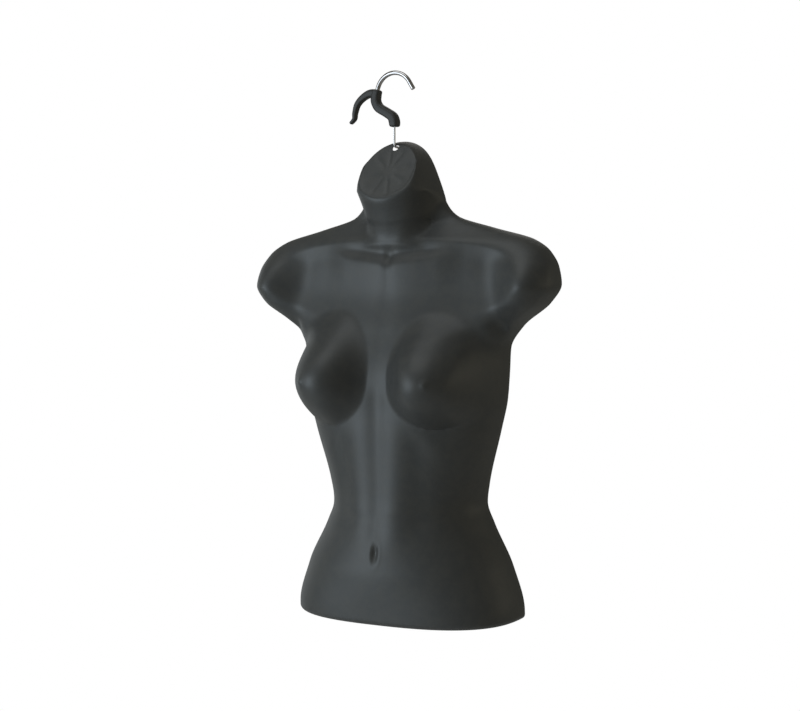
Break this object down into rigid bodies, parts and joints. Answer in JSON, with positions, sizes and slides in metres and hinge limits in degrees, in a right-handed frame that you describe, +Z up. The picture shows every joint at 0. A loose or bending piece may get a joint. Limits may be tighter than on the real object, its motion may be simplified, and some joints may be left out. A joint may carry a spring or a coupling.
{
  "type": "hanging torso form",
  "caption": "Hollow-back moulded female torso display form, open at the back, hanging from a swivel hook of chrome rod and black plastic with a side spur.",
  "frame": {"origin": "the point under the chrome rod's bend where the hook rests on a rail, on the swivel's axis", "axes": "+Z up along the swivel's axis, -Y the way the chest faces, +Y the open back, +X across the shoulders towards the figure's left"},
  "size_m": [0.447, 0.1547, 0.7238],
  "materials": {
    "shell_plastic": "satin moulded black plastic with a faint grain",
    "rod_chrome": "bright chrome plate",
    "hook_plastic": "semi-gloss moulded black plastic",
    "wire_steel": "bright drawn steel wire"
  },
  "bodies": {
    "hook": {"hook_body": "hook_plastic", "hook_rod": "rod_chrome"},
    "link": {"swivel_wire": "wire_steel"},
    "torso": {"torso_shell": "shell_plastic"}
  },
  "joints": [
    {"name": "hook_swivel", "type": "hinge", "parent": "hook", "child": "link", "pos_m": [0, 0, -0.06], "axis": [0, 0, 1], "continuous": true},
    {"name": "torso_swing", "type": "hinge", "parent": "link", "child": "torso", "pos_m": [0, 0.007, -0.0937], "axis": [1, 0, 0], "range_deg": [-15, 15]}
  ]
}
